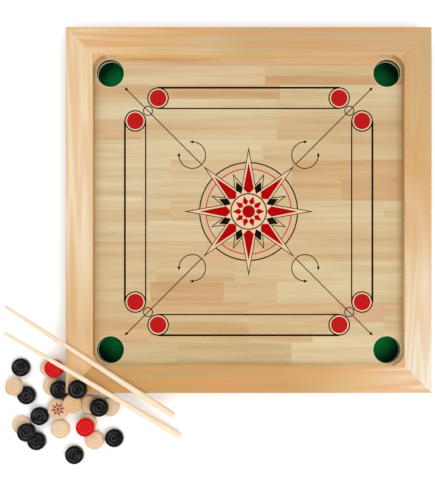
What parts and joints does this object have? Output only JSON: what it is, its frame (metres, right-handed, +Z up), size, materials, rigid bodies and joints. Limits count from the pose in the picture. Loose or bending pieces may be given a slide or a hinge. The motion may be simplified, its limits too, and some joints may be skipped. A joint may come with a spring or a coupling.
{
  "type": "carrom board",
  "caption": "Square wooden carrom board with a mitred raised frame, printed playing panel and blind corner pockets, with loose turned men, a striker and slim cues.",
  "frame": {"origin": "centre of the board's underside, on the underside of the centre batten", "axes": "+Z up, out of the playing panel; +X to the right and +Y away from the player in front, both along the rails"},
  "size_m": [0.6005, 0.6119, 0.0746],
  "materials": {
    "screw_steel": "zinc plated",
    "black_lacquered_wood": "black lacquer, satin",
    "batten_pine": "planed, unfinished",
    "corner_block_pine": "clear satin lacquer over pine",
    "cue_wood": "sanded",
    "rail_pine": "clear satin lacquer over pine",
    "ink_black": "printed film under lacquer",
    "ink_cream": "printed film under lacquer",
    "ink_red": "printed film under lacquer",
    "spline_beech": "unfinished",
    "natural_wood": "clear satin lacquer",
    "panel_wood": "clear gloss lacquer over edge-glued strips",
    "pocket_block_wood": "sawn, unfinished",
    "green_cloth": "matt",
    "red_lacquered_wood": "red lacquer, satin",
    "striker_resin": "polished, with a printed rosette"
  },
  "bodies": {
    "board": {"batten_screws": "screw_steel", "centre_batten": "batten_pine", "corner_block_back_left": "corner_block_pine", "corner_block_back_right": "corner_block_pine", "corner_block_front_left": "corner_block_pine", "corner_block_front_right": "corner_block_pine", "frame_rail_back": "rail_pine", "frame_rail_front": "rail_pine", "frame_rail_left": "rail_pine", "frame_rail_right": "rail_pine", "marking_black": "ink_black", "marking_cream": "ink_cream", "marking_red": "ink_red", "mitre_splines": "spline_beech", "playing_panel": "panel_wood", "pocket_block_back_left": "pocket_block_wood", "pocket_block_back_right": "pocket_block_wood", "pocket_block_front_left": "pocket_block_wood", "pocket_block_front_right": "pocket_block_wood", "pocket_block_screws": "screw_steel", "pocket_lining_back_left": "green_cloth", "pocket_lining_back_right": "green_cloth", "pocket_lining_front_left": "green_cloth", "pocket_lining_front_right": "green_cloth"},
    "black_man_01": {"black_man_01": "black_lacquered_wood"},
    "black_man_02": {"black_man_02": "black_lacquered_wood"},
    "black_man_03": {"black_man_03": "black_lacquered_wood"},
    "black_man_04": {"black_man_04": "black_lacquered_wood"},
    "black_man_05": {"black_man_05": "black_lacquered_wood"},
    "black_man_06": {"black_man_06": "black_lacquered_wood"},
    "black_man_07": {"black_man_07": "black_lacquered_wood"},
    "black_man_08": {"black_man_08": "black_lacquered_wood"},
    "black_man_09": {"black_man_09": "black_lacquered_wood"},
    "black_man_10": {"black_man_10": "black_lacquered_wood"},
    "cue_1": {"cue_1": "cue_wood"},
    "cue_2": {"cue_2": "cue_wood"},
    "natural_man_01": {"natural_man_01": "natural_wood"},
    "natural_man_02": {"natural_man_02": "natural_wood"},
    "natural_man_03": {"natural_man_03": "natural_wood"},
    "natural_man_04": {"natural_man_04": "natural_wood"},
    "natural_man_05": {"natural_man_05": "natural_wood"},
    "natural_man_06": {"natural_man_06": "natural_wood"},
    "natural_man_07": {"natural_man_07": "natural_wood"},
    "natural_man_08": {"natural_man_08": "natural_wood"},
    "natural_man_09": {"natural_man_09": "natural_wood"},
    "natural_man_10": {"natural_man_10": "natural_wood"},
    "red_man_01": {"red_man_01": "red_lacquered_wood"},
    "red_man_02": {"red_man_02": "red_lacquered_wood"},
    "striker": {"striker": "striker_resin"}
  },
  "joints": [
    {"name": "black_man_01_lift", "type": "slide", "parent": "board", "child": "black_man_01", "axis": [0, 0, 1], "range_m": [0, 0.03]},
    {"name": "black_man_02_lift", "type": "slide", "parent": "board", "child": "black_man_02", "axis": [0, 0, 1], "range_m": [0, 0.03]},
    {"name": "black_man_03_lift", "type": "slide", "parent": "natural_man_03", "child": "black_man_03", "axis": [0, 0, 1], "range_m": [0, 0.03]},
    {"name": "black_man_04_lift", "type": "slide", "parent": "board", "child": "black_man_04", "axis": [0, 0, 1], "range_m": [0, 0.03]},
    {"name": "black_man_05_lift", "type": "slide", "parent": "board", "child": "black_man_05", "axis": [0, 0, 1], "range_m": [0, 0.03]},
    {"name": "black_man_06_lift", "type": "slide", "parent": "black_man_07", "child": "black_man_06", "axis": [0, 0, 1], "range_m": [0, 0.03]},
    {"name": "black_man_07_lift", "type": "slide", "parent": "natural_man_10", "child": "black_man_07", "axis": [0, 0, 1], "range_m": [0, 0.03]},
    {"name": "black_man_08_lift", "type": "slide", "parent": "natural_man_06", "child": "black_man_08", "axis": [0, 0, 1], "range_m": [0, 0.03]},
    {"name": "black_man_09_lift", "type": "slide", "parent": "board", "child": "black_man_09", "axis": [0, 0, 1], "range_m": [0, 0.03]},
    {"name": "black_man_10_lift", "type": "slide", "parent": "board", "child": "black_man_10", "axis": [0, 0, 1], "range_m": [0, 0.03]},
    {"name": "cue_1_lift", "type": "slide", "parent": "board", "child": "cue_1", "axis": [0, 0, 1], "range_m": [0, 0.06]},
    {"name": "cue_2_lift", "type": "slide", "parent": "board", "child": "cue_2", "axis": [0, 0, 1], "range_m": [0, 0.06]},
    {"name": "natural_man_01_lift", "type": "slide", "parent": "black_man_02", "child": "natural_man_01", "axis": [0, 0, 1], "range_m": [0, 0.03]},
    {"name": "natural_man_02_lift", "type": "slide", "parent": "board", "child": "natural_man_02", "axis": [0, 0, 1], "range_m": [0, 0.03]},
    {"name": "natural_man_03_lift", "type": "slide", "parent": "board", "child": "natural_man_03", "axis": [0, 0, 1], "range_m": [0, 0.03]},
    {"name": "natural_man_04_lift", "type": "slide", "parent": "natural_man_05", "child": "natural_man_04", "axis": [0, 0, 1], "range_m": [0, 0.03]},
    {"name": "natural_man_05_lift", "type": "slide", "parent": "striker", "child": "natural_man_05", "axis": [0, 0, 1], "range_m": [0, 0.03]},
    {"name": "natural_man_06_lift", "type": "slide", "parent": "natural_man_05", "child": "natural_man_06", "axis": [0, 0, 1], "range_m": [0, 0.03]},
    {"name": "natural_man_07_lift", "type": "slide", "parent": "board", "child": "natural_man_07", "axis": [0, 0, 1], "range_m": [0, 0.03]},
    {"name": "natural_man_08_lift", "type": "slide", "parent": "board", "child": "natural_man_08", "axis": [0, 0, 1], "range_m": [0, 0.03]},
    {"name": "natural_man_09_lift", "type": "slide", "parent": "natural_man_07", "child": "natural_man_09", "axis": [0, 0, 1], "range_m": [0, 0.03]},
    {"name": "natural_man_10_lift", "type": "slide", "parent": "board", "child": "natural_man_10", "axis": [0, 0, 1], "range_m": [0, 0.03]},
    {"name": "red_man_01_lift", "type": "slide", "parent": "natural_man_02", "child": "red_man_01", "axis": [0, 0, 1], "range_m": [0, 0.03]},
    {"name": "red_man_02_lift", "type": "slide", "parent": "natural_man_09", "child": "red_man_02", "axis": [0, 0, 1], "range_m": [0, 0.03]},
    {"name": "striker_lift", "type": "slide", "parent": "board", "child": "striker", "axis": [0, 0, 1], "range_m": [0, 0.03]}
  ]
}
